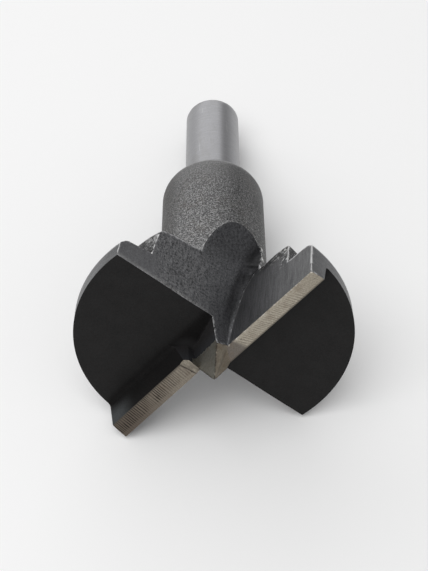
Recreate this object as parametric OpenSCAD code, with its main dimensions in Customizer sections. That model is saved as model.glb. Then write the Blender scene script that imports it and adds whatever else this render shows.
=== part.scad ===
// Two-wing forstner bit, one piece of tool steel.
// It lies at rest: two corners of the rim and the shank end touch the ground.
// The tool's own frame has its axis on Z, the point at -Z, the shank at +Z,
// and the cutting edge of the first lip along +X at height 0.

/* [Head] */
// Cutting diameter across the outer lip corners
head_d = 45; // [40:0.5:55]
// Height of the wing bottom above the cutting edges
lip_h = 4.65; // [3.5:0.05:5.5]
// Height of the rim top above the cutting edges
rim_h = 7.5; // [7:0.05:8.5]
// Loss of radius of the rim from the cutting edges to its top
back_taper = 0.15; // [0.05:0.05:0.4]
// Width of the bevel between the rim and the wing back
bevel_w = 1.05; // [0.5:0.05:1.5]
// Height of that bevel
bevel_h = 1.15; // [0.5:0.05:1.5]
// Slope of the wing back, rising towards the hub, in degrees
wing_slope = 6; // [3:0.1:10]

/* [Lips] */
// Backward lean of the rake face, in degrees
rake = 7.2; // [2:0.1:12]
// Width of the ground land behind the cutting edge
land_w = 2.93; // [2:0.05:3.5]
// Clearance of the land, in degrees
clearance = 12.1; // [6:0.1:16]
// Lean of the wall behind the land, in degrees
wall_lean = 13.5; // [5:0.5:18]
// Fillet radius at the foot of that wall
foot_r = 0.6; // [0.4:0.1:2]
// Distance from the axis at which the second lip begins
lip_start = 3.33; // [3.2:0.01:4]
// Lean of the inner end of the second lip, cut back above its land, in degrees
lip_undercut = 6.8; // [2:0.1:10]

/* [Centre point] */
// Height of the point below the cutting edges
point_h = 5.1; // [3.5:0.1:7]
// Lean of the relief wall that runs up from the broad face, in degrees
relief_lean = 9.7; // [8:0.1:11]
// Half angle of the broad face of the point, in degrees
broad_half = 14.4; // [12:0.1:17]
// Half angle of the end face of the point, in degrees
end_half = 31.4; // [26:0.1:36]
// Half angle of the two back faces of the point, in degrees
back_half = 22.6; // [18:0.1:28]

/* [Hub, collar and shank] */
// Diameter of the hub above the wings
hub_d = 33.4; // [30:0.1:35]
// Height of the hub's outer edge above the cutting edges
hub_h = 14.3; // [13:0.1:17]
// Slope of the hub top, rising towards the collar, in degrees
hub_slope = 16.7; // [5:0.1:25]
// Chamfer around the hub top
hub_chamfer = 0.5; // [0.2:0.1:1]
// Diameter of the collar
collar_d = 18; // [15:0.5:20]
// Height of the collar top above the cutting edges
collar_h = 44.7; // [38:0.1:55]
// Radius of the rounded shoulder on the collar
shoulder_r = 3.6; // [2:0.1:3.7]
// Diameter of the shank
shank_d = 10; // [8:0.5:10]
// Height of the shank end above the cutting edges
shank_h = 69.4; // [60:0.1:95]
// Chamfer at the shank end
shank_chamfer = 0.8; // [0.3:0.1:1.5]

/* [Gullets] */
// Radius of the milling cutter that sweeps the trailing walls
cutter_r = 40; // [36:1:55]
// Distance from the axis to the trailing wall of a wing
trail_off = 3.25; // [3.1:0.05:3.6]
// Radius of the cutter that sweeps the channel beside the rake face
channel_cutter_r = 56; // [50:1:64]
// Distance from the axis to the floor of the channel beside the point
channel_off = 3; // [2.7:0.05:3.05]
// Width of the channel, from the rake face
channel_w = 6; // [5:0.1:7]
// Corner radius of the channel
channel_r = 2; // [1:0.1:2.3]

/* [Hidden] */
$fn = 128;

head_r = head_d / 2;
hub_r = hub_d / 2;
collar_r = collar_d / 2;
shank_r = shank_d / 2;
rim_top_r = head_r - back_taper;
// the wing back rises from the rim top to the hub
wing_top_h = rim_h + bevel_h + (rim_top_r - bevel_w - hub_r) * tan(wing_slope);
hub_top_h = hub_h + (hub_r - hub_chamfer - collar_r) * tan(hub_slope);
// section of the lip: back corner of the land and foot of the wall
land_z = land_w * tan(clearance);
foot_v = land_w + (lip_h - land_z) * tan(wall_lean);
// centre of the foot fillet and its touching point on the wall
fil_v = foot_v + foot_r * (1 - sin(wall_lean)) / cos(wall_lean);
fil_t = foot_r * (1 - sin(wall_lean)) / cos(wall_lean);

// how the tool lies: the two top corners of the rim beside the second gullet
// and the lower edge of the shank end share the ground
edge_z = shank_h - shank_chamfer;
trail_u = trail_off + cutter_r - sqrt(cutter_r * cutter_r - rim_h * rim_h);
corner_a = 180 + asin(rim_h * tan(rake) / rim_top_r);
corner_b = 180 - acos(trail_u / rim_top_r);
corner_depth = rim_top_r * cos((corner_a - corner_b) / 2);
// slope of the ground against the axis
lie_m = (corner_depth - shank_r) / (edge_z - rim_h);
lie_tilt = atan(lie_m);
// turn about the axis that puts the middle of the two corners straight down
lie_roll = 90 - (corner_a + corner_b) / 2;
// height of the axis foot above the ground and the middle of the length
lie_z = (corner_depth + lie_m * rim_h) * cos(lie_tilt);
y_min = -point_h * cos(lie_tilt);
y_max = max(shank_h * cos(lie_tilt) + (shank_r - shank_chamfer) * sin(lie_tilt),
            edge_z * cos(lie_tilt) + shank_r * sin(lie_tilt));
lie_y = -(y_min + y_max) / 2;

// points of a quarter round of radius r about c, from angle a0 on
function quarter(c, r, a0, n = 8) =
    [for (i = [0:n]) c + r * [cos(a0 + 90 * i / n), sin(a0 + 90 * i / n)]];

// everything turned on the lathe, with the head still a plain disc
module turned_body() {
    rotate_extrude() polygon(concat(
        [
            [0, 0],
            [head_r, 0],
            [rim_top_r, rim_h],
            [rim_top_r - bevel_w, rim_h + bevel_h],
            [hub_r, wing_top_h],
            [hub_r, hub_h - hub_chamfer],
            [hub_r - hub_chamfer, hub_h],
            [collar_r, hub_top_h]
        ],
        // rounded shoulder of the collar
        quarter([collar_r - shoulder_r, collar_h - shoulder_r], shoulder_r, 0, 12),
        [
            [shank_r, collar_h],
            [shank_r, shank_h - shank_chamfer],
            [shank_r - shank_chamfer, shank_h],
            [0, shank_h]
        ]
    ));
}

// what is milled away below a wing: it leaves the land, the wall behind it,
// the foot fillet and the flat bottom of the wing
module wing_pocket() {
    rotate([90, 0, 90]) translate([0, 0, -head_r - 5])
        linear_extrude(2 * head_r + 10)
            polygon(concat(
                [
                    [-0.5, -point_h - 3],
                    [-0.5, -0.5 * tan(clearance)],
                    [land_w, land_z]
                ],
                // foot fillet, from the wall to the wing bottom
                [for (i = [0:6]) let (a = 180 - wall_lean - i / 6 * (90 - wall_lean))
                    [fil_v + foot_r * cos(a), lip_h - foot_r + foot_r * sin(a)]],
                [
                    [head_r + 5, lip_h],
                    [head_r + 5, -point_h - 3]
                ]
            ));
}

// relief between the point and the inner end of the second lip: its wall runs
// on from the broad face of the point up to the wing bottom
module point_relief() {
    difference() {
        intersection() {
            translate([-lip_start, -head_r, 0]) rotate([0, -lip_undercut, 0])
                translate([0, 0, -30]) cube([30, head_r, 60]);
            translate([-head_r, -head_r, -point_h - 3])
                cube([head_r + lip_start + 4, head_r, point_h + 3 + lip_h]);
        }
        intersection() {
            behind_relief();
            translate([0, 0, -point_h]) behind_face(-108, broad_half);
        }
    }
}

// half space behind the relief wall
module behind_relief() {
    translate([0, 0, -8]) behind_face(-106.2, relief_lean);
}

// half space behind a face of the point; az is where the face looks
module behind_face(az, half) {
    rotate([0, 0, az]) rotate([0, half, 0])
        translate([-60, -30, -30]) cube(60);
}

// the ground point, four faces that meet at the tip
module centre_point() {
    intersection() {
        translate([0, 0, -point_h]) intersection() {
            behind_face(-108, broad_half);
            behind_face(13.6, end_half);
            behind_face(46.4, back_half);
            behind_face(135, back_half);
        }
        behind_relief();
        translate([0, 0, -point_h - 1])
            cylinder(r = lip_start + 0.9, h = point_h + lip_h);
    }
}

// sweep of the cutter that leaves the trailing wall
module trailing_cut() {
    translate([trail_off + cutter_r, -channel_w * 0.6, 0])
        rotate([90, 0, 0]) cylinder(r = cutter_r, h = 60);
}

// sweep of the leaning cutter that leaves the rake face and the channel
module channel_cut() {
    rotate([-rake, 0, 0])
        translate([channel_off + channel_cutter_r, 0, 0]) rotate([90, 0, 0])
            rotate_extrude()
                polygon(concat(
                    [[0, 0]],
                    quarter([channel_cutter_r - channel_r, channel_r], channel_r, -90, 6),
                    quarter([channel_cutter_r - channel_r, channel_w - channel_r], channel_r, 0, 6),
                    [[0, channel_w]]
                ));
}

// all that is milled away in front of one lip
module gullet() {
    trailing_cut();
    channel_cut();
}

module bit() {
    difference() {
        union() {
            difference() {
                turned_body();
                wing_pocket();
                rotate([0, 0, 180]) wing_pocket();
                point_relief();
            }
            centre_point();
        }
        gullet();
        rotate([0, 0, 180]) gullet();
    }
}

module forstner_bit() {
    color([0.36, 0.36, 0.37])
        translate([0, lie_y, lie_z])
            rotate([-90 - lie_tilt, 0, 0])
                rotate([0, 0, lie_roll])
                    bit();
}

forstner_bit();
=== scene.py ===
import bpy
import math
import numpy as np
from mathutils import Matrix, Vector


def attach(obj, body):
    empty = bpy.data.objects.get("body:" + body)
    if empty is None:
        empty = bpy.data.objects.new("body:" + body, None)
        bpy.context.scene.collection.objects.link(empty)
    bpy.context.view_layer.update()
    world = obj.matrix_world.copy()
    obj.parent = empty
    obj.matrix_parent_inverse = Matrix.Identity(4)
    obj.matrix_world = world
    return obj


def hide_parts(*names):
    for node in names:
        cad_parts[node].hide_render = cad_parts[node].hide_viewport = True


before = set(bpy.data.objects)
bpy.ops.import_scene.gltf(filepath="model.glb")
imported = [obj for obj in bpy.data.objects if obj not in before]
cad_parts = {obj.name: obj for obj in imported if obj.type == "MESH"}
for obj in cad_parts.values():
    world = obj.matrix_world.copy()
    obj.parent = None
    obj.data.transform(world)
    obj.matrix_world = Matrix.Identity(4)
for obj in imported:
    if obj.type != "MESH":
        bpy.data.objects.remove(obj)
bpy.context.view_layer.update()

# ---------------------------------------------------------------- sizes, mm
# The tool's own frame: axis on Z, point at -Z, shank at +Z, the cutting edge
# of the first lip along +X at height 0.
HEAD_R = 22.5
BACK_TAPER = 0.15
LIP_H = 4.65
RIM_H = 7.5
RAKE = math.radians(7.2)
LAND_W = 2.93
CLEAR = math.radians(12.1)
WALL_LEAN = math.radians(13.5)
FOOT_R = 0.6
POINT_H = 5.1
HUB_R = 16.7
HUB_ROUND = 0.6
COLLAR_R = 9.0
COLLAR_H = 44.7
SHOULDER_R = 3.6
SHANK_R = 5.0
SHANK_H = 69.4
SHANK_ROUND = 0.9
TRAIL_OFF = 3.25
CUTTER_R = 40.0
LIP_START = 3.33

# ------------------------------------------------- how the tool lies at rest
rim_top_r = HEAD_R - BACK_TAPER
edge_z = SHANK_H - 0.8
trail_u = TRAIL_OFF + CUTTER_R - math.sqrt(CUTTER_R ** 2 - RIM_H ** 2)
corner_a = math.pi + math.asin(RIM_H * math.tan(RAKE) / rim_top_r)
corner_b = math.pi - math.acos(trail_u / rim_top_r)
corner_depth = rim_top_r * math.cos((corner_a - corner_b) / 2)
lie_m = (corner_depth - SHANK_R) / (edge_z - RIM_H)
lie_tilt = math.atan(lie_m)
lie_roll = math.pi / 2 - (corner_a + corner_b) / 2
lie_z = (corner_depth + lie_m * RIM_H) * math.cos(lie_tilt)
y_min = -POINT_H * math.cos(lie_tilt)
y_max = max(SHANK_H * math.cos(lie_tilt) + (SHANK_R - 0.8) * math.sin(lie_tilt),
            edge_z * math.cos(lie_tilt) + SHANK_R * math.sin(lie_tilt))
lie_y = -(y_min + y_max) / 2
ROT = np.array(Matrix.Rotation(-math.pi / 2 - lie_tilt, 3, "X") @ Matrix.Rotation(lie_roll, 3, "Z"))
SHIFT = np.array([0.0, lie_y, lie_z])

# --------------------------------------------------------------- zone numbers
(SHANK, COLLAR, HUB, HUB_TOP, RIM, BACK, LAND, WALL, BOTTOM, RAKE_FACE, GULLET,
 BROAD, ENDS, RELIEF, LIP_END, SHANK_END) = range(16)


def join(a, b):
    m = a[0] < b[0]
    return np.where(m, a[0], b[0]), np.where(m, a[1], b[1])


def meet(a, b):
    m = a[0] > b[0]
    return np.where(m, a[0], b[0]), np.where(m, a[1], b[1])


def zone(f, k):
    return f, np.full(f.shape, k, np.int8)


def rounded(r, z, rad, top, rho, side, end):
    """Turned step of that radius and height with a rounded top edge."""
    qx, qz = r - (rad - rho), z - (top - rho)
    f = np.hypot(np.maximum(qx, 0), np.maximum(qz, 0)) + np.minimum(np.maximum(qx, qz), 0) - rho
    return f, np.where(qz > qx, end, side).astype(np.int8)


def below_wing(y, z):
    """Lip and wing bottom of the wing at +Y: land, wall, foot fillet, flat."""
    flat = LIP_H - z
    land = (y * math.tan(CLEAR) - z) * math.cos(CLEAR)
    land_z = LAND_W * math.tan(CLEAR)
    wall = (y - LAND_W - (z - land_z) * math.tan(WALL_LEAN)) * math.cos(WALL_LEAN)
    lip = meet(zone(land, LAND), zone(wall, WALL))
    e = FOOT_R
    f = np.maximum(e, np.minimum(flat, lip[0])) - np.hypot(np.maximum(e - flat, 0), np.maximum(e - lip[0], 0))
    k = np.where(flat < lip[0] + 0.35, BOTTOM, lip[1]).astype(np.int8)
    return f, k


def smooth01(t):
    t = np.clip(t, 0, 1)
    return t * t * (3 - 2 * t)


def round_meet(a, b, e):
    """Crossing of two sides, with its edge rounded by e."""
    return np.minimum(np.maximum(a, b), -e) + np.hypot(np.maximum(a + e, 0), np.maximum(b + e, 0))


def gullet(x, y, z):
    """What is milled away in front of the lip at +X."""
    zr = np.maximum(z, 0.0)
    # the trailing wall opens upwards, a little more at the rim than inside
    outer = smooth01((-y - 7.4) / 8.3)
    a = TRAIL_OFF + zr * zr * (0.00809 + 0.00451 * outer) - x
    lean = y - z * math.tan(RAKE)
    # it swings out gently towards the rake face
    a = a + 1.25 * np.square(np.minimum(zr, 23.0) / 23.0) * smooth01((lean + 9.6) / 9.6)
    # the rake face leans back; beside the collar it gives way a little
    give = 0.65 * smooth01((z - 12.0) / 6.0) * smooth01((15.5 - np.hypot(x, y)) / 6.0)
    run_on = 0.7 * smooth01((z - 16.3) / 2.4) * smooth01((9.9 - np.hypot(x, y)) / 0.6)
    b = lean * math.cos(RAKE) - give - run_on
    rho = (0.11 + 0.19 * smooth01((z - 16.0) / 1.8)) * zr
    rho = np.maximum(rho * (1 - 0.85 * smooth01((z - 16.0) / 7.0)), 0.25)
    c = round_meet(a, b - 0.08 * rho, rho)
    return meet(zone(b, RAKE_FACE), zone(c, GULLET))


def face_of_point(x, y, z, az, half):
    n = math.cos(az) * x + math.sin(az) * y
    return n * math.cos(half) - (z + POINT_H) * math.sin(half)


def solid(x, y, z):
    r = np.hypot(x, y)
    # wings: rim, bevel and back; hub with a conical top
    back = (z - 9.054 + 0.105 * (r - 17.145)) * 0.9945
    bevel = 0.7355 * (r - HEAD_R + BACK_TAPER) + 0.6774 * (z - RIM_H)
    disc = meet(zone(r - HEAD_R + BACK_TAPER * z / RIM_H, RIM), zone(round_meet(back, bevel, 0.3), BACK))
    top = (z - 14.24 - 0.30 * (16.46 - r)) * 0.958
    hub = round_meet(r - HUB_R, top, HUB_ROUND), np.where(top > r - HUB_R, HUB_TOP, HUB).astype(np.int8)
    s = join(disc, hub)
    s = join(s, rounded(r, z, COLLAR_R, COLLAR_H, SHOULDER_R, COLLAR, COLLAR))
    s = join(s, rounded(r, z, SHANK_R, SHANK_H, SHANK_ROUND, SHANK, SHANK_END))
    s = meet(s, zone(-z, LAND))
    far = -0.5
    s = meet(s, join(below_wing(y, z), zone(y - far, LAND)))
    # the second wing: a relief wall runs up from the point, and the inner end
    # of the lip is cut off steeply, with a shallow bevel on its land
    rel = -0.2755 * x - 0.9465 * y - 0.1682 * z - 1.386
    broad = face_of_point(x, y, z, math.radians(-108), math.radians(14.4))
    post = np.maximum(rel, broad)
    edge = np.maximum((x + LIP_START + 0.12 * z) * 0.993, (0.772 * x - 0.635 * y + 1.08 + 0.12 * z) * 0.993)
    other = below_wing(-y, z)
    flat = LIP_H - z
    e = 0.2
    soft = np.maximum(e, np.minimum(flat, post)) - np.hypot(np.maximum(e - flat, 0), np.maximum(e - post, 0))
    kind = np.where(flat < post + 0.2, BOTTOM, np.where(broad > rel, BROAD, RELIEF)).astype(np.int8)
    # the steep cut face takes the relief's lighter black: painted light on a face that lies in shade
    keep = join((soft, kind), (edge, np.where((broad > rel) & (y > -1.6), BROAD, RELIEF).astype(np.int8)))
    keep = join(keep, zone(-y, LAND))
    other = meet(other, keep)
    bevel = (-y * math.tan(CLEAR) + 0.195 * (x - 0.251 * y + 4.31) - z) * 0.96
    bevel = join(zone(bevel, LIP_END), zone(np.minimum(-2.4 - x, y + 6.0), LAND))
    other = meet(other, bevel)
    s = meet(s, join(other, zone(-y - far, LAND)))
    # the hand-ground point
    p1 = face_of_point(x, y, z, math.radians(13.6), math.radians(31.4))
    p2 = face_of_point(x, y, z, math.radians(46.4), math.radians(22.5))
    p = meet(zone(broad, BROAD),
             zone(round_meet(p1, p2, 0.1 * np.maximum(z + POINT_H, 0)), ENDS))
    p = meet(p, zone(face_of_point(x, y, z, math.radians(135), math.radians(22.7)), ENDS))
    p = meet(meet(p, zone(r - 4.6, ENDS)), zone(rel, RELIEF))
    p = meet(p, zone(z - 3.0, ENDS))
    # behind the first lip it ends flush with the wall of the lip
    p = meet(p, zone((y - LAND_W - (z - LAND_W * math.tan(CLEAR)) * math.tan(WALL_LEAN)) * math.cos(WALL_LEAN), WALL))
    s = join(s, p)
    g = gullet(x, y, z)
    s = meet(s, (-g[0], g[1]))
    g = gullet(-x, -y, z)
    return meet(s, (-g[0], g[1]))


def field(p):
    return solid(p[:, 0], p[:, 1], p[:, 2])[0]


def gradient(p, e=0.004):
    g = np.empty_like(p)
    for a in range(3):
        d = np.zeros(3)
        d[a] = e
        g[:, a] = field(p + d) - field(p - d)
    return g / np.maximum(np.linalg.norm(g, axis=1), 1e-12)[:, None]


def skin(xs, ys, zs):
    """Surface of the solid as triangles, with a point on each crossing of
    faces, so that edges stay sharp. Returns points, triangles."""
    X, Y = np.meshgrid(xs, ys, indexing="ij")
    val = np.empty((len(xs), len(ys), len(zs)))
    for k, z in enumerate(zs):
        val[:, :, k] = solid(X, Y, np.full_like(X, z))[0]
    inside = val < 0
    axes = (xs, ys, zs)
    shape = np.array(val.shape)
    cells, pts, nrm, quads_of = [], [], [], []
    quad_cells, quad_flip = [], []
    for a in range(3):
        b, c = (a + 1) % 3, (a + 2) % 3
        lo = [slice(None)] * 3
        hi = [slice(None)] * 3
        lo[a], hi[a] = slice(0, -1), slice(1, None)
        idx = np.argwhere(inside[tuple(lo)] != inside[tuple(hi)])
        ok = (idx[:, b] > 0) & (idx[:, c] > 0) & (idx[:, b] < shape[b] - 1) & (idx[:, c] < shape[c] - 1)
        idx = idx[ok]
        p0 = np.stack([axes[d][idx[:, d]] for d in range(3)], 1)
        nxt = idx.copy()
        nxt[:, a] += 1
        p1 = np.stack([axes[d][nxt[:, d]] for d in range(3)], 1)
        f0 = val[tuple(idx.T)]
        start_in = f0 < 0
        ta, tb = np.zeros(len(idx)), np.ones(len(idx))
        for _ in range(18):
            tm = (ta + tb) / 2
            fm = field(p0 + (p1 - p0) * tm[:, None])
            same = (fm < 0) == start_in
            ta = np.where(same, tm, ta)
            tb = np.where(same, tb, tm)
        q = p0 + (p1 - p0) * ((ta + tb) / 2)[:, None]
        n = gradient(q)
        around = []
        for db, dc in ((-1, -1), (0, -1), (0, 0), (-1, 0)):
            cell = idx.copy()
            cell[:, b] += db
            cell[:, c] += dc
            around.append(np.ravel_multi_index(tuple(cell.T), shape))
        around = np.stack(around, 1)
        quad_cells.append(around)
        quad_flip.append(~start_in)
        for j in range(4):
            cells.append(around[:, j])
            pts.append(q)
            nrm.append(n)
    cells = np.concatenate(cells)
    pts = np.concatenate(pts)
    nrm = np.concatenate(nrm)
    uniq, inv = np.unique(cells, return_inverse=True)
    m = len(uniq)
    count = np.bincount(inv, minlength=m)
    mass = np.stack([np.bincount(inv, pts[:, d], m) for d in range(3)], 1) / count[:, None]
    rel = np.einsum("ij,ij->i", nrm, pts - mass[inv])
    A = np.empty((m, 3, 3))
    B = np.empty((m, 3))
    for i in range(3):
        B[:, i] = np.bincount(inv, nrm[:, i] * rel, m)
        for j in range(i, 3):
            A[:, i, j] = A[:, j, i] = np.bincount(inv, nrm[:, i] * nrm[:, j], m)
    w, V = np.linalg.eigh(A)
    good = w > 0.012 * w[:, 2:3]
    wi = np.where(good, 1 / np.where(good, w, 1), 0)
    step = np.einsum("nij,nj,nkj,nk->ni", V, wi, V, B)
    vert = mass + step
    cell_idx = np.stack(np.unravel_index(uniq, shape), 1)
    lo = np.stack([axes[d][cell_idx[:, d]] for d in range(3)], 1)
    hi = np.stack([axes[d][cell_idx[:, d] + 1] for d in range(3)], 1)
    pad = (hi - lo) * 0.02
    vert = np.clip(vert, lo - pad, hi + pad)
    quads = np.concatenate(quad_cells)
    flip = np.concatenate(quad_flip)
    quads = np.searchsorted(uniq, quads)
    quads[flip] = quads[flip][:, ::-1]
    # each quad is cut along the diagonal that stays closer to the surface
    q = vert[quads]
    off = []
    for tri in ((0, 1, 2), (0, 2, 3), (0, 1, 3), (1, 2, 3)):
        off.append(np.abs(field((q[:, tri[0]] + q[:, tri[1]] + q[:, tri[2]]) / 3)))
    first = off[0] + off[1] <= off[2] + off[3]
    one = np.where(first[:, None], quads[:, [0, 1, 2]], quads[:, [0, 1, 3]])
    two = np.where(first[:, None], quads[:, [0, 2, 3]], quads[:, [1, 2, 3]])
    tris = np.concatenate([one, two])
    return vert, tris


STEP = 0.34
xs = np.arange(-HEAD_R - 0.617, HEAD_R + 0.9, STEP)
ys = np.arange(-HEAD_R - 0.653, HEAD_R + 0.9, STEP)
zs = np.concatenate([
    np.arange(-POINT_H - 0.83, 26.3, STEP),
    np.arange(26.7, 40.6, 0.7),
    np.arange(41.03, 45.0, STEP),
    np.arange(45.5, 68.0, 0.75),
    np.arange(68.41, 70.2, STEP),
])
verts, tris = skin(xs, ys, zs)

# points that fall together are one, and triangles without area go
key = np.round(verts / 2e-3).astype(np.int64)
_, first_of, back_to = np.unique(key, axis=0, return_index=True, return_inverse=True)
back_to = back_to.reshape(-1)
verts = verts[first_of]
tris = back_to[tris]
ok = (tris[:, 0] != tris[:, 1]) & (tris[:, 1] != tris[:, 2]) & (tris[:, 2] != tris[:, 0])
tris = tris[ok]

centre = verts[tris].mean(1)
zones = solid(centre[:, 0], centre[:, 1], centre[:, 2])[1].astype(int)

# a normal for each corner, from the face that the triangle belongs to
corner = verts[tris]
loop_n = np.empty_like(corner)
for i in range(3):
    loop_n[:, i] = gradient(corner[:, i] + 0.3 * (centre - corner[:, i]), 0.006)
flat_v = tris.reshape(-1)
flat_n = loop_n.reshape(-1, 3)
count = np.bincount(flat_v, minlength=len(verts))
mean_n = np.stack([np.bincount(flat_v, flat_n[:, d], len(verts)) for d in range(3)], 1)
mean_n /= np.maximum(np.linalg.norm(mean_n, axis=1), 1e-9)[:, None]
dots = np.einsum("ij,ij->i", flat_n, mean_n[flat_v])
worst = np.ones(len(verts))
np.minimum.at(worst, flat_v, dots)
smooth = worst > math.cos(math.radians(9))
flat_n = np.where(smooth[flat_v][:, None], mean_n[flat_v], flat_n)

# edges: how sharp the solid is at each point, outward and inward
around_sum = np.zeros_like(verts)
for i, j in ((0, 1), (1, 2), (2, 0), (1, 0), (2, 1), (0, 2)):
    np.add.at(around_sum, tris[:, i], verts[tris[:, j]])
around_mean = around_sum / np.maximum(2 * count, 1)[:, None]
bulge = np.einsum("ij,ij->i", verts - around_mean, mean_n)
sharp = np.clip((np.degrees(np.arccos(np.clip(worst, -1, 1))) - 8) / 14, 0, 1)
ridge = np.where(bulge > 0, sharp, 0)
crease = np.where(bulge < 0, sharp, 0)

print("skin", len(verts), "points", len(tris), "triangles")

mesh = bpy.data.meshes.new("forstner_bit_skin")
middle = np.array([0.0, 0.0, 17.6])
world = (middle + (verts @ ROT.T + SHIFT - middle) * 0.9993) * 0.001
mesh.vertices.add(len(verts))
mesh.vertices.foreach_set("co", world.astype(np.float32).reshape(-1))
mesh.loops.add(len(tris) * 3)
mesh.loops.foreach_set("vertex_index", tris.astype(np.int32).reshape(-1))
mesh.polygons.add(len(tris))
mesh.polygons.foreach_set("loop_start", np.arange(0, len(tris) * 3, 3, dtype=np.int32))
mesh.polygons.foreach_set("material_index", zones.astype(np.int32))
mesh.update(calc_edges=True)
mesh.validate()
mesh.polygons.foreach_set("use_smooth", np.ones(len(mesh.polygons), bool))
own = mesh.attributes.new("own", "FLOAT_VECTOR", "POINT")
own.data.foreach_set("vector", verts.astype(np.float32).reshape(-1))
for name, values in (("ridge", ridge), ("crease", crease)):
    at = mesh.attributes.new(name, "FLOAT", "POINT")
    at.data.foreach_set("value", values.astype(np.float32))
mesh.normals_split_custom_set((flat_n @ ROT.T).astype(np.float32).tolist())

bit = bpy.data.objects.new("bit_body", mesh)
bpy.context.scene.collection.objects.link(bit)


# ------------------------------------------------------------------ materials
class Shade:
    """A principled shader fed by the bit's own coordinates in mm."""

    def __init__(self, name):
        self.m = bpy.data.materials.new(name)
        self.m.use_nodes = True
        self.t = self.m.node_tree
        self.b = self.t.nodes["Principled BSDF"]
        self.own = self.attr("own", 1)
        s = self.add("ShaderNodeSeparateXYZ", {0: self.own})
        self.x, self.y, self.z = s.outputs

    def add(self, kind, inputs=None, **props):
        n = self.t.nodes.new(kind)
        for k, v in props.items():
            setattr(n, k, v)
        for k, v in (inputs or {}).items():
            self.put(n.inputs[k], v)
        return n

    def put(self, socket, v):
        if isinstance(v, bpy.types.NodeSocket):
            self.t.links.new(v, socket)
        elif isinstance(v, tuple) and len(v) == 3 and len(socket.default_value) == 4:
            socket.default_value = (*v, 1)
        else:
            socket.default_value = v

    def attr(self, name, out):
        return self.add("ShaderNodeAttribute", attribute_name=name).outputs[out]

    def calc(self, op, a, b=0.0, clamp=False):
        return self.add("ShaderNodeMath", {0: a, 1: b}, operation=op, use_clamp=clamp).outputs[0]

    def span(self, v, a, b, lo=0.0, hi=1.0, kind="SMOOTHSTEP"):
        return self.add("ShaderNodeMapRange", {0: v, 1: a, 2: b, 3: lo, 4: hi}, interpolation_type=kind).outputs[0]

    def stretch(self, sx, sy, sz):
        return self.add("ShaderNodeVectorMath", {0: self.own, 1: (sx, sy, sz)}, operation="MULTIPLY").outputs[0]

    def noise(self, scale, detail=2.0, rough=0.55, vec=None, warp=0.0):
        return self.add("ShaderNodeTexNoise", {"Vector": vec or self.own, "Scale": scale, "Detail": detail,
                                               "Roughness": rough, "Distortion": warp}).outputs[0]

    def cells(self, scale, vec=None):
        """A random number for each grain."""
        n = self.add("ShaderNodeTexVoronoi", {"Vector": vec or self.own, "Scale": scale})
        return self.add("ShaderNodeSeparateColor", {0: n.outputs["Color"]}).outputs[0]

    def near(self, point, a, b):
        """1 within a of the point, 0 beyond b."""
        d = self.add("ShaderNodeVectorMath", {0: self.own, 1: point}, operation="DISTANCE").outputs["Value"]
        return self.span(d, a, b, 1.0, 0.0)

    def mul(self, *v):
        r = v[0]
        for o in v[1:]:
            r = self.calc("MULTIPLY", r, o)
        return r

    def blend(self, f, a, b):
        return self.add("ShaderNodeMix", {0: f, 6: a, 7: b}, data_type="RGBA").outputs[2]

    def tint(self, c, f):
        """Colour times a factor."""
        return self.add("ShaderNodeVectorMath", {0: c, 1: f}, operation="MULTIPLY").outputs[0]

    def ramp(self, f, *stops):
        n = self.add("ShaderNodeValToRGB", {0: f})
        e = n.color_ramp.elements
        while len(e) < len(stops):
            e.new(0.5)
        for i, (p, c) in enumerate(stops):
            e[i].position = p
            e[i].color = (*c, 1) if isinstance(c, tuple) else (c, c, c, 1)
        return n.outputs[0]

    def bump(self, height, microns):
        n = self.add("ShaderNodeBump", {"Height": height, "Strength": 1.0, "Distance": microns * 1e-6})
        self.put(self.b.inputs["Normal"], n.outputs[0])

    def done(self, color, rough, metal=1.0, spec=None):
        self.put(self.b.inputs["Base Color"], color)
        self.put(self.b.inputs["Roughness"], rough)
        self.put(self.b.inputs["Metallic"], metal)
        if spec is not None:
            self.put(self.b.inputs["Specular IOR Level"], spec)
        return self.m

    def burr(self, color, light, power=3.0, scale=2.2, lo=0.35, hi=0.6, where=None):
        """Bright worn edge, broken up along its length."""
        e = self.calc("POWER", self.attr("ridge", 2), power)
        f = self.mul(e, self.span(self.noise(scale, 3.0, 0.6), lo, hi))
        if where is not None:
            f = self.mul(f, where)
        return self.blend(f, color, light)


def blasted(name, dark, mid, light, sparks=0.94, brown=0.3):
    s = Shade(name)
    g = s.noise(3.8, 2.0, 0.7)
    h = s.noise(8.0, 1.0, 0.5)
    lvl = s.calc("ADD", s.calc("MULTIPLY", g, 0.6), s.calc("MULTIPLY", h, 0.4))
    col = s.ramp(lvl, (0.34, dark), (0.5, mid), (0.68, light))
    smear = s.mul(s.span(s.noise(0.22, 3.0, 0.55), 0.48, 0.66), s.span(s.noise(1.3, 2.0, 0.5), 0.3, 0.7), brown)
    col = s.blend(smear, col, (mid[0] * 0.95, mid[1] * 0.82, mid[2] * 0.68))
    # bright grains: painted glints on the blasted metal
    star = s.span(s.cells(5.6), sparks, sparks + 0.03)
    return s, lvl, col, star


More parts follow.
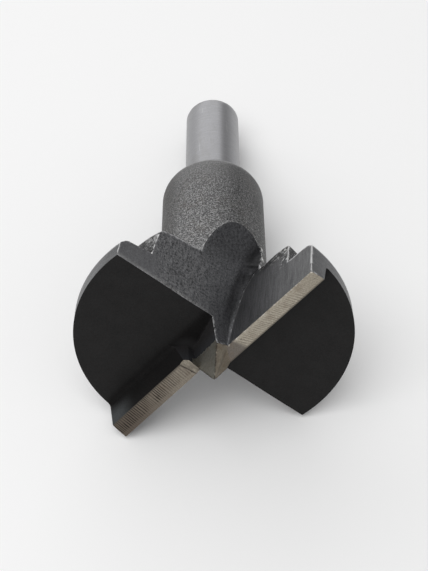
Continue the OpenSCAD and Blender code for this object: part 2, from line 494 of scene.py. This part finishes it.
def collar_look():
    s, lvl, col, star = blasted("blasted_collar", (0.017, 0.017, 0.018), (0.099, 0.0985, 0.0995), (0.385, 0.385, 0.385), 0.89)
    # the shoulder is a little smoother than the lower part
    up = s.span(s.z, 34.0, 42.0)
    col = s.blend(s.mul(up, 0.6), col, (0.155, 0.154, 0.154))
    # brown stain and painted shade on one flank, painted shade on the other, where the collar turns away from the
    # light
    across = s.calc("ADD", s.calc("MULTIPLY", s.x, 0.0719), s.calc("MULTIPLY", s.y, 0.0847))
    stain_and_shade = s.mul(s.span(across, -0.6, -0.98), s.span(s.noise(0.5, 3.0, 0.6), 0.3, 0.6, 0.45, 0.85))
    col = s.blend(stain_and_shade, col, s.blend(lvl, (0.0145, 0.0129, 0.0113), (0.051, 0.0463, 0.0408)))
    col = s.blend(s.mul(s.span(across, 0.6, 0.97, 0.0, 0.8), s.span(s.z, 41.0, 35.0, 0.5, 1.0)), col, s.blend(lvl, (0.0105, 0.0105, 0.0102), (0.037, 0.037, 0.0358)))
    # a lighter ring painted round the top of the shoulder, a painted highlight
    ring = s.mul(s.span(s.z, 41.8, 42.5), s.span(s.z, 43.6, 43.0))
    col = s.blend(s.mul(ring, s.span(s.noise(1.1, 3.0, 0.6), 0.35, 0.6, 0.4, 0.85)), col, (0.31, 0.31, 0.31))
    # painted glints on the blasted grains, more of them lower down
    f = s.mul(star, s.span(s.z, 42.0, 24.0, 0.15, 0.8))
    col = s.blend(f, col, (0.33, 0.33, 0.33))
    # small bright spots beside the gullet, painted glints
    for p, a in (((8.18, 3.76, 20.2), 0.55), ((8.2, 3.7, 22.7), 0.45), ((8.3, 3.3, 21.3), 0.3)):
        col = s.blend(s.mul(s.near(p, a * 0.4, a * 1.4), s.span(s.noise(4.6, 2.0, 0.6), 0.46, 0.55)), col, (0.9, 0.9, 0.88))
    col = s.burr(col, (0.6, 0.6, 0.6), 2.0, 3.0, 0.42, 0.62)
    s.bump(lvl, 56)
    # the blasted flanks stay dull where they turn away
    s.put(s.b.inputs["Specular Tint"], (0.83, 0.83, 0.83))
    return s.done(col, s.span(lvl, 0.3, 0.7, 0.5, 0.38, "LINEAR"))


def hub_look(name, top=False):
    s, lvl, col, star = blasted(name, (0.009, 0.009, 0.0095), (0.03, 0.03, 0.031), (0.14, 0.14, 0.14), 0.94, 0.2)
    # painted glints on the blasted grains
    col = s.blend(s.mul(star, 0.7), col, (0.4, 0.4, 0.4))
    if not top:
        patch = s.mul(s.near((4.5, -16.08, 13.2), 0.6, 2.2), s.span(s.noise(2.0), 0.35, 0.6))
        col = s.blend(patch, col, (0.3, 0.3, 0.3))
        col = s.blend(s.near((4.3, -16.14, 9.87), 0.2, 0.55), col, (0.01, 0.01, 0.01))
        col = s.blend(s.near((4.17, -16.17, 9.2), 0.1, 0.4), col, (0.75, 0.75, 0.74))
    col = s.burr(col, (0.75, 0.75, 0.75), 2.0)
    s.bump(lvl, 90)
    return s.done(col, s.span(lvl, 0.3, 0.7, 0.55, 0.4, "LINEAR"))


def back_look():
    s, lvl, col, star = blasted("blasted_back", (0.07, 0.07, 0.07), (0.17, 0.17, 0.17), (0.38, 0.38, 0.38), 0.93)
    # painted glints on the blasted grains
    col = s.blend(s.mul(star, 0.7), col, (0.75, 0.75, 0.75))
    col = s.burr(col, (0.6, 0.6, 0.6))
    s.bump(lvl, 60)
    return s.done(col, s.span(lvl, 0.3, 0.7, 0.5, 0.38, "LINEAR"))


def shank_look(name, end=False):
    s = Shade(name)
    rings = s.noise(1.0, 3.0, 0.6, s.stretch(0.35, 0.35, 7.0))
    grain = s.noise(5.0, 2.0, 0.6)
    lvl = s.calc("ADD", s.calc("MULTIPLY", rings, 0.55), s.calc("MULTIPLY", grain, 0.45))
    col = s.ramp(lvl, (0.3, (0.238, 0.238, 0.247)), (0.7, (0.312, 0.312, 0.323)))
    rub = s.mul(s.span(s.noise(0.35, 3.0, 0.6, s.stretch(1.0, 1.0, 0.4)), 0.5, 0.7), 0.35)
    col = s.blend(rub, col, (0.225, 0.223, 0.22))
    # a lighter ring where the shank leaves the collar
    col = s.blend(s.span(s.z, 45.6, 44.9, 0.0, 0.6), col, (0.42, 0.42, 0.418))
    scratch = s.span(s.noise(1.0, 2.0, 0.4, s.stretch(2.2, 2.2, 0.16)), 0.69, 0.75)
    col = s.blend(s.mul(scratch, 0.3), col, (0.45, 0.45, 0.45))
    col = s.burr(col, (0.7, 0.7, 0.7))
    s.bump(lvl, 9 if not end else 14)
    return s.done(col, s.span(lvl, 0.3, 0.7, 0.4, 0.31, "LINEAR"))


def rim_look():
    s = Shade("ground_rim")
    lines = s.noise(1.0, 3.0, 0.6, s.stretch(0.3, 0.3, 6.0))
    grain = s.noise(4.5, 2.0, 0.6)
    lvl = s.calc("ADD", s.calc("MULTIPLY", lines, 0.5), s.calc("MULTIPLY", grain, 0.5))
    col = s.ramp(lvl, (0.34, (0.078, 0.079, 0.083)), (0.66, (0.2, 0.202, 0.207)))
    col = s.blend(s.mul(s.span(s.noise(0.4, 2.0), 0.5, 0.68), 0.4), col, (0.13, 0.13, 0.13))
    # one side of the rim painted darker: painted shade on the side turned from the light
    col = s.blend(s.span(s.x, -3.0, 3.0, 0.0, 0.45), col, s.tint(col, (0.5, 0.5, 0.5)))
    corner = s.calc("MAXIMUM", s.span(s.z, 4.95, 5.3), s.span(s.calc("ABSOLUTE", s.y), 1.5, 1.1))
    col = s.burr(col, (0.8, 0.8, 0.8), 1.6, 2.0, 0.2, 0.45, s.mul(corner, s.span(s.z, 0.1, 0.4)))
    s.bump(lvl, 22)
    return s.done(col, s.span(lvl, 0.3, 0.7, 0.5, 0.38, "LINEAR"))


def rake_look():
    s = Shade("milled_rake")
    streak = s.noise(1.0, 3.0, 0.65, s.stretch(5.0, 1.0, 0.2))
    wide = s.noise(1.0, 2.0, 0.5, s.stretch(1.2, 1.0, 0.08))
    grain = s.noise(4.8, 2.0, 0.6)
    lvl = s.calc("ADD", s.calc("MULTIPLY", streak, 0.5), s.calc("MULTIPLY", grain, 0.35))
    lvl = s.calc("ADD", lvl, s.calc("MULTIPLY", wide, 0.15))
    along = s.span(s.calc("ABSOLUTE", s.x), 4.0, 21.0, 0.0, 1.0, "LINEAR")
    inner = s.ramp(lvl, (0.36, (0.083, 0.083, 0.088)), (0.64, (0.235, 0.235, 0.245)))
    outer = s.ramp(lvl, (0.36, (0.071, 0.072, 0.074)), (0.64, (0.206, 0.207, 0.21)))
    col = s.blend(along, inner, outer)
    # torn metal where the wall cuts the hub; its bright specks are painted glints
    torn = s.mul(s.span(s.calc("ABSOLUTE", s.x), 14.2, 15.6), s.span(s.calc("ABSOLUTE", s.x), 17.0, 16.6), s.span(s.z, 8.6, 9.8))
    col = s.blend(s.mul(torn, s.span(s.cells(3.2), 0.72, 0.8)), col, (0.7, 0.7, 0.7))
    col = s.blend(s.mul(torn, s.span(s.cells(3.9), 0.3, 0.22), 0.7), col, (0.03, 0.03, 0.03))
    foot = s.calc("ADD", s.mul(s.z, s.z, 0.01045), s.calc("MULTIPLY", s.z, 0.067))
    foot = s.calc("SUBTRACT", s.calc("SUBTRACT", s.calc("ABSOLUTE", s.x), 3.25), foot)
    line = s.mul(s.span(foot, 0.42, 0.14), s.span(s.z, 17.0, 16.2), s.span(s.noise(1.6, 2.0), 0.25, 0.5, 0.55, 0.9))
    col = s.blend(line, col, (0.4, 0.4, 0.405))
    # rough, dirty metal along the top of the hub
    below = s.calc("SUBTRACT", s.calc("SUBTRACT", 19.18, s.calc("MULTIPLY", s.calc("ABSOLUTE", s.x), 0.3)), s.z)
    edge = s.mul(s.span(below, 3.6, 0.8), s.span(s.calc("ABSOLUTE", s.x), 8.2, 9.6), s.span(s.calc("ABSOLUTE", s.x), 16.9, 16.5))
    col = s.blend(s.mul(edge, s.span(s.noise(1.7, 3.0, 0.6), 0.46, 0.54), 0.95), col, (0.035, 0.033, 0.031))
    col = s.blend(s.mul(edge, s.span(s.cells(2.6), 0.8, 0.84)), col, (0.6, 0.595, 0.585))
    chips = s.mul(s.span(s.z, 0.5, 0.12), s.span(s.noise(1.9, 2.0), 0.5, 0.58), s.span(s.noise(0.42), 0.46, 0.58), 0.9)
    col = s.blend(s.mul(chips, s.span(s.x, 17.0, 12.0)), col, (0.62, 0.59, 0.54))
    col = s.burr(col, (0.85, 0.85, 0.85), 1.6, 2.0, 0.2, 0.45, s.span(s.z, 0.3, 0.6))
    s.bump(lvl, 34)
    return s.done(col, s.span(lvl, 0.3, 0.7, 0.48, 0.36, "LINEAR"))


def gullet_look():
    s = Shade("milled_gullet")
    grain = s.noise(2.9, 2.0, 0.65)
    fine = s.noise(7.0, 1.0, 0.5)
    streak = s.noise(1.0, 3.0, 0.6, s.stretch(2.2, 2.2, 0.18))
    lvl = s.calc("ADD", s.calc("MULTIPLY", grain, 0.5), s.calc("MULTIPLY", fine, 0.25))
    lvl = s.calc("ADD", lvl, s.calc("MULTIPLY", streak, 0.25))
    wall = s.ramp(lvl, (0.36, (0.027, 0.0273, 0.0295)), (0.64, (0.28, 0.281, 0.289)))
    deep = s.ramp(lvl, (0.33, (0.046, 0.047, 0.051)), (0.67, (0.212, 0.214, 0.223)))
    across = s.span(s.calc("ABSOLUTE", s.y), 2.0, 9.0, 0.0, 1.0)
    col = s.blend(across, deep, wall)
    col = s.blend(s.span(s.calc("ABSOLUTE", s.y), 11.0, 15.0, 0.0, 0.5), col, s.tint(col, (1.32, 1.32, 1.32)))
    # the outer end of the wall is cleaner and smoother
    clean = s.mul(s.span(s.calc("ABSOLUTE", s.y), 12.5, 16.0), s.span(s.z, 11.0, 8.6), 0.85)
    col = s.blend(clean, col, s.ramp(lvl, (0.36, (0.142, 0.143, 0.149)), (0.64, (0.198, 0.199, 0.207))))
    # painted shade: darker towards the root beside the rake face
    side = s.calc("MULTIPLY", s.y, s.calc("SIGN", s.x))
    root = s.calc("SUBTRACT", s.calc("MULTIPLY", s.z, 0.126), side)
    root_shade = s.ramp(lvl, (0.34, (0.031, 0.031, 0.033)), (0.66, (0.088, 0.088, 0.093)))
    near_root = s.mul(s.span(root, 2.4, 1.3), s.span(s.z, 2.0, 11.0, 0.25, 0.95), s.span(s.z, 24.0, 21.5, 0.3, 1.0))
    # painted shade, darker higher up in the channel beneath the collar
    col = s.blend(s.span(s.z, 14.0, 20.0, 0.0, 0.6), col, s.ramp(lvl, (0.34, (0.025, 0.025, 0.027)), (0.66, (0.085, 0.085, 0.09))))
    col = s.blend(near_root, col, root_shade)
    # painted shade in the fillet beside the rake face, darkest in its top corner
    fillet = s.mul(s.span(root, 1.0, 0.45), s.span(s.z, 4.0, 9.0))
    col = s.blend(fillet, col, s.tint(col, (0.6, 0.6, 0.6)))
    far_x = s.calc("ABSOLUTE", s.x)
    pocket = s.mul(s.span(root, 1.9, 0.7), s.span(far_x, 5.6, 7.6), s.span(s.z, 13.0, 17.0), s.span(s.z, 22.5, 18.5), 0.75)
    col = s.blend(pocket, col, (0.012, 0.012, 0.0127))
    low = s.mul(s.span(s.z, 4.9, 4.4), s.span(s.calc("ABSOLUTE", s.y), 3.8, 3.3), s.span(s.calc("ABSOLUTE", s.y), 0.5, 1.2))
    # rubbed lighter along the bottom edge of the wing
    rub = s.mul(s.span(s.z, 5.6, 4.9), s.span(s.calc("ABSOLUTE", s.y), 3.5, 5.0), s.span(s.noise(0.9, 2.0), 0.3, 0.6, 0.5, 0.95))
    col = s.blend(rub, col, s.tint(col, (1.65, 1.64, 1.6)))
    col = s.burr(col, (0.55, 0.55, 0.56), 2.0, 1.6, 0.46, 0.64)
    col = s.burr(col, (0.6, 0.6, 0.61), 1.6, 2.4, 0.3, 0.5, s.mul(s.span(s.z, 13.4, 14.2), s.span(s.z, 18.5, 17.0)))
    col = s.burr(col, (0.95, 0.95, 0.95), 1.2, 2.6, 0.36, 0.5, low)
    s.bump(s.mul(lvl, s.span(clean, 0.0, 0.85, 1.0, 0.3)), 45)
    return s.done(col, s.span(lvl, 0.3, 0.7, 0.52, 0.4, "LINEAR"))


def land_look(name, strip=False):
    s = Shade(name)
    ay = s.calc("ABSOLUTE", s.y)
    # grinding marks across the land, pitch about half a millimetre
    drift = s.noise(1.0, 1.0, 0.5, s.stretch(0.35, 0.02, 0.02))
    wob = s.calc("ADD", s.calc("MULTIPLY", s.noise(1.1, 2.0, 0.5), 0.13), s.calc("MULTIPLY", drift, 1.1))
    lean = s.calc("MULTIPLY", s.calc("MAXIMUM", s.y, 0.0), -0.176)
    ph = s.calc("MULTIPLY", s.calc("ADD", s.calc("ADD", s.x, lean), wob), 2 * math.pi / 0.44)
    wave = s.calc("MULTIPLY", s.calc("ADD", s.calc("SINE", ph), 1.0), 0.5)
    odd = s.noise(1.0, 2.0, 0.5, s.stretch(2.9, 0.25, 0.25))
    marks = s.calc("ADD", s.calc("MULTIPLY", wave, 0.5), s.calc("MULTIPLY", odd, 0.5))
    first = s.span(s.y, -0.05, 0.05)
    grain = s.noise(5.0, 2.0, 0.6)
    base = s.ramp(grain, (0.3, (0.32, 0.286, 0.23)), (0.7, (0.5, 0.455, 0.375)))
    g = s.calc("ADD", s.x, s.calc("MULTIPLY", s.y, -0.251))
    groove = s.mul(s.span(g, -4.5, -4.36), s.span(g, -4.12, -4.26))
    if strip:
        col = s.blend(s.mul(s.span(s.noise(1.0, 2.0, 0.6, s.stretch(4.5, 1.2, 1.2)), 0.4, 0.6, 0.5, 0.0)), base, (0.1, 0.088, 0.072))
        col = s.blend(s.mul(s.span(s.noise(0.9, 2.0), 0.35, 0.65, 0.15, 0.6)), col, (0.15, 0.13, 0.107))
        col = s.blend(s.mul(groove, 0.9), col, (0.025, 0.02, 0.017))
        s.bump(grain, 25)
        return s.done(col, 0.5, 0.75)
    lines = s.span(marks, 0.33, 0.53, 1.0, 0.0)
    # a smoother band along the cutting edge; marks are weaker on the first lip
    band = s.span(ay, 0.55, 0.95)
    power = s.mul(s.span(first, 0.0, 1.0, 1.0, 0.95), s.span(band, 0.0, 1.0, 0.3, 1.0),
                  s.span(s.noise(0.55, 2.0), 0.3, 0.6, 0.45, 1.0), s.span(s.x, -6.5, -11.5, 0.55, 1.0))
    inner = s.mul(first, s.span(s.x, 5.2, 4.2))
    outer = s.mul(first, s.span(s.x, 16.5, 20.0, 0.0, 0.75))
    power = s.mul(power, s.calc("SUBTRACT", 1.0, inner, True), s.calc("SUBTRACT", 1.0, outer, True))
    col = s.blend(s.mul(lines, power), base, (0.1, 0.083, 0.067))
    col = s.blend(outer, col, s.tint(col, (0.8, 0.79, 0.78)))
    col = s.blend(s.mul(inner, 0.9), col, s.blend(grain, (0.09, 0.077, 0.066), (0.19, 0.167, 0.148)))
    # pits along the edge of that band, and brown stains
    pit = s.mul(s.span(s.cells(1.6), 0.9, 0.93), s.span(ay, 0.55, 0.8), s.span(ay, 1.75, 1.25))
    col = s.blend(s.mul(pit, s.span(s.noise(3.0), 0.4, 0.55)), col, (0.03, 0.024, 0.02))
    stain = s.mul(s.span(s.noise(0.45, 3.0, 0.6), 0.5, 0.7), 0.45)
    col = s.blend(stain, col, (0.2, 0.15, 0.105))
    # the second lip is dirtier, most of all at its outer end
    soil = s.mul(s.calc("SUBTRACT", 1.0, first, True), s.span(s.x, -6.0, -20.0, 0.55, 0.99))
    col = s.blend(soil, col, s.blend(s.mul(lines, power), (0.128, 0.104, 0.083), (0.018, 0.0135, 0.0105)))
    col = s.blend(s.mul(groove, 0.6), col, (0.04, 0.034, 0.028))
    dirt = s.mul(s.span(ay, 2.5, 2.9), 0.75)
    col = s.blend(dirt, col, (0.08, 0.07, 0.057))
    col = s.burr(col, (0.72, 0.69, 0.63), 2.0, 1.6, 0.5, 0.6, s.mul(first, s.span(ay, 0.5, 0.3)))
    h = s.calc("SUBTRACT", s.calc("MULTIPLY", grain, 0.3), s.mul(lines, power))
    s.bump(h, 35)
    return s.done(col, s.span(grain, 0.3, 0.7, 0.55, 0.42, "LINEAR"), 0.75)


def black_look(name, part):
    s = Shade(name)
    cloud = s.noise(0.35, 3.0, 0.55)
    grain = s.noise(5.5, 2.0, 0.6)
    lvl = s.calc("ADD", s.calc("MULTIPLY", cloud, 0.3), s.calc("MULTIPLY", grain, 0.7))
    col = s.ramp(lvl, (0.35, (0.0064, 0.0061, 0.0061)), (0.65, (0.012, 0.0114, 0.0114)))
    ay = s.calc("ABSOLUTE", s.y)
    spec = 0.06
    if part == "relief":
        # worn thin towards the broad face of the point; elsewhere the relief's black is painted twice as light, which
        # lifts its shaded faces
        q = s.calc("ADD", s.calc("MULTIPLY", s.x, 0.2957), s.calc("MULTIPLY", s.y, -0.3155))
        q = s.calc("ADD", s.calc("SUBTRACT", s.z, 0.913), q)
        f = s.mul(s.span(q, 3.4, 0.0), s.span(s.noise(1.2), 0.25, 0.75, 0.6, 1.0))
        col = s.blend(f, s.tint(col, (2.0, 2.0, 2.05)), (0.024, 0.0253, 0.0283))
        spec = 0.1
    if part == "wall":
        end = s.mul(s.span(s.calc("ABSOLUTE", s.x), 16.0, 20.5), s.span(s.z, 4.4, 1.8), s.span(grain, 0.3, 0.6, 0.7, 1.0))
        col = s.blend(end, col, (0.054, 0.058, 0.06))
    if part == "bottom":
        # the coat is dullest at the foot of the lips
        spec = s.span(ay, 4.0, 5.6, 0.04, 0.19)
        # painted light: the shadowed inner corner at the foot of the second lip is lifted to a lighter black
        col = s.blend(s.near((-4.2, -2.0, 4.6), 0.8, 2.8), col, (0.026, 0.0255, 0.026))
    s.bump(lvl, 12)
    return s.done(col, s.span(lvl, 0.3, 0.7, 0.66, 0.56, "LINEAR"), 0.0, spec)


def point_look(name, lo, hi, face):
    s = Shade(name)
    grain = s.noise(4.5, 2.0, 0.6)
    grind = s.noise(1.0, 3.0, 0.6, s.stretch(*((1.2, 1.2, 5.5) if face else (4.5, 4.5, 0.8))))
    lvl = s.calc("ADD", s.calc("MULTIPLY", grain, 0.4), s.calc("MULTIPLY", grind, 0.6))
    col = s.ramp(lvl, (0.3, lo), (0.7, hi))
    col = s.blend(s.mul(s.span(s.noise(0.8, 2.0), 0.5, 0.68), 0.4), col, (0.16, 0.115, 0.075))
    if not face:
        col = s.blend(s.span(s.y, 0.1, 0.9, 0.0, 0.6), col, s.tint(col, (1.7, 1.65, 1.6)))
    # a dirty line along the ridges, and a burnt tip
    e = s.calc("POWER", s.attr("ridge", 2), 2.0)
    col = s.blend(s.mul(e, s.span(s.noise(1.4), 0.3, 0.5), 0.9), col, (0.03, 0.026, 0.022))
    col = s.blend(s.span(s.z, -4.5, -5.0, 0.0, 0.7), col, (0.05, 0.045, 0.04))
    s.bump(lvl, 25)
    return s.done(col, s.span(lvl, 0.3, 0.7, 0.52, 0.42, "LINEAR"), 0.85)


LOOK = {
    SHANK: shank_look("satin_shank"),
    COLLAR: collar_look(),
    HUB: hub_look("rough_hub"),
    HUB_TOP: hub_look("rough_hub_top", True),
    RIM: rim_look(),
    BACK: back_look(),
    LAND: land_look("ground_land"),
    WALL: black_look("black_wall", "wall"),
    BOTTOM: black_look("black_bottom", "bottom"),
    RAKE_FACE: rake_look(),
    GULLET: gullet_look(),
    BROAD: point_look("ground_broad_face", (0.15, 0.145, 0.124), (0.29, 0.28, 0.245), True),
    ENDS: point_look("ground_end_faces", (0.17, 0.147, 0.113), (0.29, 0.257, 0.206), False),
    RELIEF: black_look("black_relief", "relief"),
    LIP_END: land_look("lip_end_strip", True),
    SHANK_END: shank_look("turned_end", True),
}
for k in range(16):
    mesh.materials.append(LOOK[k])

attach(bit, "root")
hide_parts("forstner_bit")


# ---------------------------------------------------------------- floor, light
def plain(name, rgb, rough):
    m = bpy.data.materials.new(name)
    m.use_nodes = True
    b = m.node_tree.nodes["Principled BSDF"]
    b.inputs["Base Color"].default_value = (*rgb, 1)
    b.inputs["Roughness"].default_value = rough
    b.inputs["Specular IOR Level"].default_value = 0.1
    return m


fm = bpy.data.meshes.new("floor")
fm.from_pydata([(-3, -3, 0), (3, -3, 0), (3, 3, 0), (-3, 3, 0)], [], [(0, 1, 2, 3)])
floor_obj = bpy.data.objects.new("floor", fm)
bpy.context.scene.collection.objects.link(floor_obj)
fm.materials.append(plain("floor_pale", (0.93, 0.93, 0.93), 0.9))

world_data = bpy.data.worlds.new("studio")
bpy.context.scene.world = world_data
world_data.use_nodes = True
world_data.node_tree.nodes["Background"].inputs["Color"].default_value = (1, 1, 1, 1)
world_data.node_tree.nodes["Background"].inputs["Strength"].default_value = 0.45


def panel(name, at, to, size, radiance):
    """Soft box of that radiance."""
    d = bpy.data.lights.new(name, "AREA")
    d.shape = "RECTANGLE"
    d.size, d.size_y = size
    d.energy = radiance * math.pi * size[0] * size[1]
    o = bpy.data.objects.new(name, d)
    bpy.context.scene.collection.objects.link(o)
    o.location = at
    o.rotation_euler = (Vector(to) - Vector(at)).to_track_quat("-Z", "Y").to_euler()
    return o


panel("back_left", (-0.33, 0.62, 0.33), (0, 0, 0.33), (1.5, 0.6), 1.15)
panel("overhead", (-0.25, -0.25, 0.8), (0, 0, 0.02), (0.7, 0.7), 2.7)

# --------------------------------------------------------------------- camera
R0 = 22.5
f_px, elev, dist = 1425.01, math.radians(48.2411), 9.9282
u0, v0, roll, th1 = 214.1573, 358.19, math.radians(0.4187), math.radians(-49.68)
c = dist * np.array([0, -math.cos(elev), -math.sin(elev)])
base = np.array([[1, 0, 0],
                 [0, -math.sin(elev), math.cos(elev)],
                 [0, math.cos(elev), math.sin(elev)]])
Rr = np.array([[math.cos(roll), -math.sin(roll), 0], [math.sin(roll), math.cos(roll), 0], [0, 0, 1]])
aim = np.array([(u0 - 214) / f_px, -(v0 - 285.5) / f_px, 1.0])
aim /= np.linalg.norm(aim)
turn = np.array(Vector((0, 0, 1)).rotation_difference(Vector(aim)).to_matrix())
view_rows = turn @ Rr @ base
to_own = np.array([[math.cos(th1), math.sin(th1), 0], [-math.sin(th1), math.cos(th1), 0], [0, 0, 1]])
pos = ROT @ (to_own @ c * R0) + SHIFT
rows = (ROT @ to_own @ view_rows.T).T
cam_data = bpy.data.cameras.new("camera")
cam_data.sensor_fit = "VERTICAL"
cam_data.sensor_height = 36.0
cam_data.sensor_width = 36.0 * 428 / 571
cam_data.lens = f_px * 36.0 / 571
cam_data.clip_start = 0.01
cam_data.clip_end = 20
cam = bpy.data.objects.new("camera", cam_data)
bpy.context.scene.collection.objects.link(cam)
cm = Matrix.Identity(4)
for i in range(3):
    cm[i][0], cm[i][1], cm[i][2] = rows[0][i], rows[1][i], -rows[2][i]
    cm[i][3] = pos[i] * 0.001
cam.matrix_world = cm
bpy.context.scene.camera = cam
bpy.context.scene.view_settings.view_transform = "Standard"
bpy.context.scene.view_settings.look = "None"
